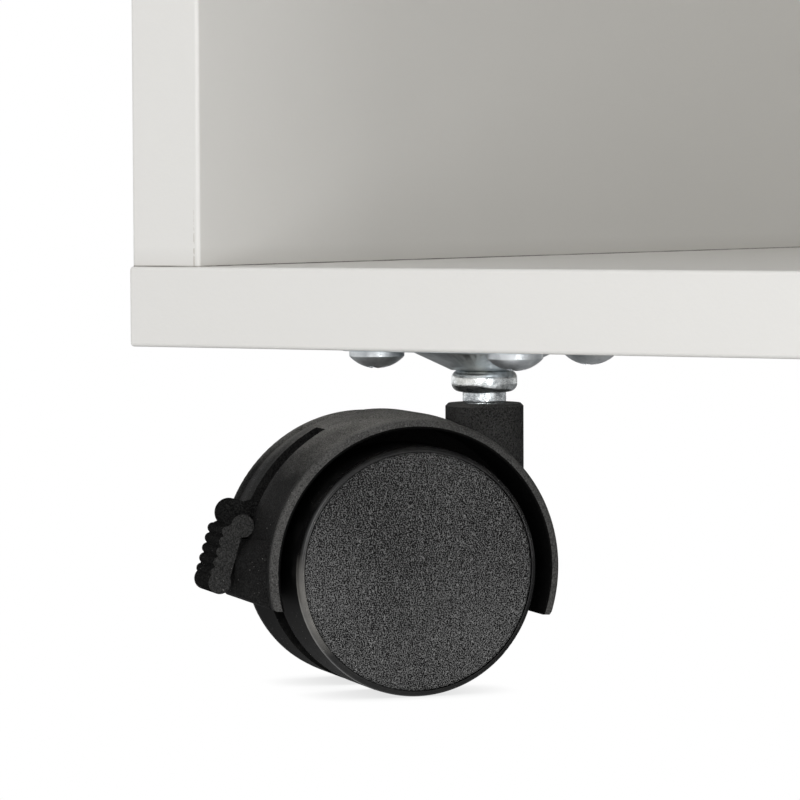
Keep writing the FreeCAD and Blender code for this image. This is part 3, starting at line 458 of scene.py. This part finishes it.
backFinish = {
    "face": rgb(0.79, 0.78, 0.755), "shade": rgb(0.75, 0.74, 0.715), "cloud": (0.2, 3),
    "peel": (0.0016, 3, 0.55), "rough": 0.36, "peelRough": 0.2, "depth": 0.00005, "strength": 0.5,
}


def backLacquer(name):
    f = newFinish(name)
    place = f.place()
    cloud = f.noise(place, *backFinish["cloud"])
    peel = f.noise(place, *backFinish["peel"])
    color = f.tint(cloud, backFinish["face"], backFinish["shade"])
    rough = backFinish["rough"] + peel.swing(backFinish["peelRough"])
    normal = f.bump(peel, backFinish["depth"], backFinish["strength"])
    return f.surface(color=color, rough=rough, normal=normal)


# Pieces: each solid is copied and its triangles are joined up; where a rounding is given, its sharp edges are
# rounded

dressing = {"weld": 1e-6, "flat": math.radians(0.2), "sharp": math.radians(30), "steps": 2}
roundings = {
    "plate": 0.0003, "screws": 0.00012, "stem": 0.0002,
    "housing": 0.0004, "wheel": 0.0002, "lever": 0.00035,
}


def dress(name, finish, rounding=0.0):
    shape = bmesh.new()
    shape.from_mesh(nodes[name].data)
    bmesh.ops.remove_doubles(shape, verts=shape.verts, dist=dressing["weld"])
    if rounding:
        bmesh.ops.dissolve_limit(
            shape, angle_limit=dressing["flat"], verts=shape.verts, edges=shape.edges, delimit=set())
        edges = [edge for edge in shape.edges
                 if edge.is_manifold and edge.calc_face_angle() > dressing["sharp"]]
        bmesh.ops.bevel(
            shape, geom=edges, offset=rounding, offset_type="OFFSET", segments=dressing["steps"],
            profile=0.5, affect="EDGES", clamp_overlap=True, material=-1)
    for face in shape.faces:
        face.smooth = True
    for edge in shape.edges:
        edge.smooth = not edge.is_manifold or edge.calc_face_angle() < dressing["sharp"]
    mesh = bpy.data.meshes.new(name + "_dressed")
    shape.to_mesh(mesh)
    shape.free()
    mesh.materials.append(finish)
    piece = bpy.data.objects.new(name + "_dressed", mesh)
    bpy.context.scene.collection.objects.link(piece)
    weighted = piece.modifiers.new("weighted normals", "WEIGHTED_NORMAL")
    weighted.keep_sharp = True
    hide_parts(name)
    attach(piece, bodyOf[name])


for boardName in ["bottom_panel", "top_panel", "middle_shelf"]:
    dress(boardName, melamine(boardName + " melamine", *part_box(boardName), False))
for boardName in ["left_side_panel", "right_side_panel"]:
    dress(boardName, melamine(boardName + " melamine", *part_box(boardName), True))
dress("back_panel", backLacquer("back lacquer"))
steel = zincPlate("bright zinc plate", plateFinish)
turned = zincPlate("turned zinc plate", stemFinish)
fastener = zincPlate("fastener zinc plate", screwFinish)
dress("shelf_pins", steel)
dress("cam_discs", castZinc("cast zinc"))
dress("cam_bolts", fastener)
dress("bottom_joint_screws", fastener)
dress("dowels", beechWood("beech"))
print("cabinet dressed")

capGrain = leatherPlastic("cap plastic")
for corner in corners:
    spin = jointOf[corner + "_wheel_a_spin"]
    axleTurn = math.atan2(spin["axis"][1], spin["axis"][0]) - math.pi / 2
    tread = treadPlastic(corner + " tread plastic", spin["pos_m"], axleTurn)
    hood = hoodPlastic(corner + " hood plastic", spin["pos_m"], axleTurn)
    dress(corner + "_caster_plate", steel, roundings["plate"])
    dress(corner + "_caster_screws", fastener, roundings["screws"])
    dress(corner + "_caster_stem", turned, roundings["stem"])
    dress(corner + "_stem_ring", steel)
    dress(corner + "_caster_housing", hood, roundings["housing"])
    dress(corner + "_axle", steel)
    for letter in "ab":
        dress(corner + "_wheel_" + letter, tread, roundings["wheel"])
        dress(corner + "_wheel_cap_" + letter, capGrain)
    if corner in brakedCorners:
        lever = leverPlastic(corner + " lever plastic", spin["pos_m"], axleTurn)
        dress(corner + "_brake_lever", lever, roundings["lever"])
        dress(corner + "_lever_pin", steel)
print("casters dressed")


# Studio

floorLook = {
    "size": 6.0, "color": rgb(0.86, 0.86, 0.86),
    "contact": 0.010, "contactSamples": 12, "contactFade": [(0.0, 0.75), (0.8, 1.0)],
    "reach": 0.6, "fade": 0.05, "mirrored": [(0.0, 1.0), (1.0, 0.25)],
}


def floorFinish():
    f = newFinish("studio floor")
    path = f.node("LightPath", out="Is Camera Ray")
    glossy = path.pick("Is Glossy Ray")
    seen = path + glossy + path.pick("Is Transmission Ray")
    settings = {"samples": floorLook["contactSamples"]}
    # painted contact shadow: the white glow is darkened where ambient occlusion finds a part close above the floor
    clear = f.node("AmbientOcclusion", settings, {"Distance": floorLook["contact"]}, out="AO")
    tone = f.ramp(clear, floorLook["contactFade"])
    # metal and plastic mirror a painted shadow under, beside and behind the cabinet
    x, y, z = f.axes(f.place())
    reach = floorLook["reach"]
    wide = edgeInset(x, cadBox[0][0] - reach, cadBox[1][0] + reach)
    deep = edgeInset(y, cadBox[0][1], cadBox[1][1] + reach)
    under = f.clipped(wide / floorLook["fade"]) * f.clipped(deep / floorLook["fade"])
    tone = f.tint(glossy, tone, f.ramp(under, floorLook["mirrored"]))
    paint = f.node("BsdfDiffuse", {}, {"Color": floorLook["color"]})
    glow = f.node("Emission", {}, {"Color": tone, "Strength": 1.0})
    shader = f.node("MixShader", {}, {0: seen, 1: paint, 2: glow})
    f.node("OutputMaterial", {}, {0: shader})
    return f.owner


def makeFloor():
    shape = bmesh.new()
    bmesh.ops.create_grid(shape, x_segments=1, y_segments=1, size=floorLook["size"] / 2)
    mesh = bpy.data.meshes.new("studio_floor")
    shape.to_mesh(mesh)
    shape.free()
    mesh.materials.append(floorFinish())
    floor = bpy.data.objects.new("studio_floor", mesh)
    bpy.context.scene.collection.objects.link(floor)


lamps = {
    "key": {"from": (0.3, -2.4, 0.75), "size": 1.3, "power": 24.5},
    "right": {"from": (1.9, -0.30, 0.22), "size": 0.2, "power": 5.2},
    "low": {"from": (0.1, -0.5, 0.02), "size": 0.1, "power": 0.38},
    "behind": {"from": (0.5, 1.7, 1.9), "size": 2.4, "power": 24},
}
lampAim = (-0.2, -0.12, 0.1)
worldLook = {"background": 1.0, "light": 0.42}


def aimed(place, target, roll=0.0):  # a camera or lamp at a place, looking at a target
    forward = (Vector(target) - Vector(place)).normalized()
    right = forward.cross(Vector((0, 0, 1))).normalized()
    up = right.cross(forward)
    tilt = math.radians(roll)
    across = right * math.cos(tilt) + up * math.sin(tilt)
    above = up * math.cos(tilt) - right * math.sin(tilt)
    turn = Matrix((across, above, -forward)).transposed().to_4x4()
    return Matrix.Translation(place) @ turn


def makeLamps():
    for name, lamp in lamps.items():
        light = bpy.data.lights.new(name, "AREA")
        light.size = lamp["size"]
        light.energy = lamp["power"]
        lampObject = bpy.data.objects.new(name, light)
        lampObject.matrix_world = aimed(lamp["from"], lampAim)
        bpy.context.scene.collection.objects.link(lampObject)


def makeWorld():
    world = bpy.data.worlds.new("studio")
    bpy.context.scene.world = world
    f = Finish(world)
    path = f.node("LightPath", out="Is Camera Ray")
    seen = path + path.pick("Is Glossy Ray") + path.pick("Is Transmission Ray")
    lit = f.node("Background", {}, {"Color": rgb(1, 1, 1), "Strength": worldLook["light"]})
    shown = f.node("Background", {}, {"Color": rgb(1, 1, 1), "Strength": worldLook["background"]})
    f.node("OutputWorld", {}, {0: f.node("MixShader", {}, {0: seen, 1: lit, 2: shown})})


photoCamera = {
    "place": (0.1381, -0.8361, 0.0993), "yaw": 30.55, "pitch": -3.01, "roll": -0.262,
    "lens": 173.9, "sensor": 36, "clip": 0.05,
}


def makeCamera():
    view = bpy.data.cameras.new("photo camera")
    view.lens = photoCamera["lens"]
    view.sensor_width = photoCamera["sensor"]
    view.clip_start = photoCamera["clip"]
    yaw = math.radians(photoCamera["yaw"])
    pitch = math.radians(photoCamera["pitch"])
    ahead = Vector((-math.sin(yaw) * math.cos(pitch), math.cos(yaw) * math.cos(pitch), math.sin(pitch)))
    place = Vector(photoCamera["place"])
    cameraObject = bpy.data.objects.new("photo_camera", view)
    cameraObject.matrix_world = aimed(place, place + ahead, photoCamera["roll"])
    bpy.context.scene.collection.objects.link(cameraObject)
    bpy.context.scene.camera = cameraObject


makeFloor()
makeLamps()
makeWorld()
makeCamera()
bpy.context.scene.view_settings.view_transform = "Standard"
print("studio ready")
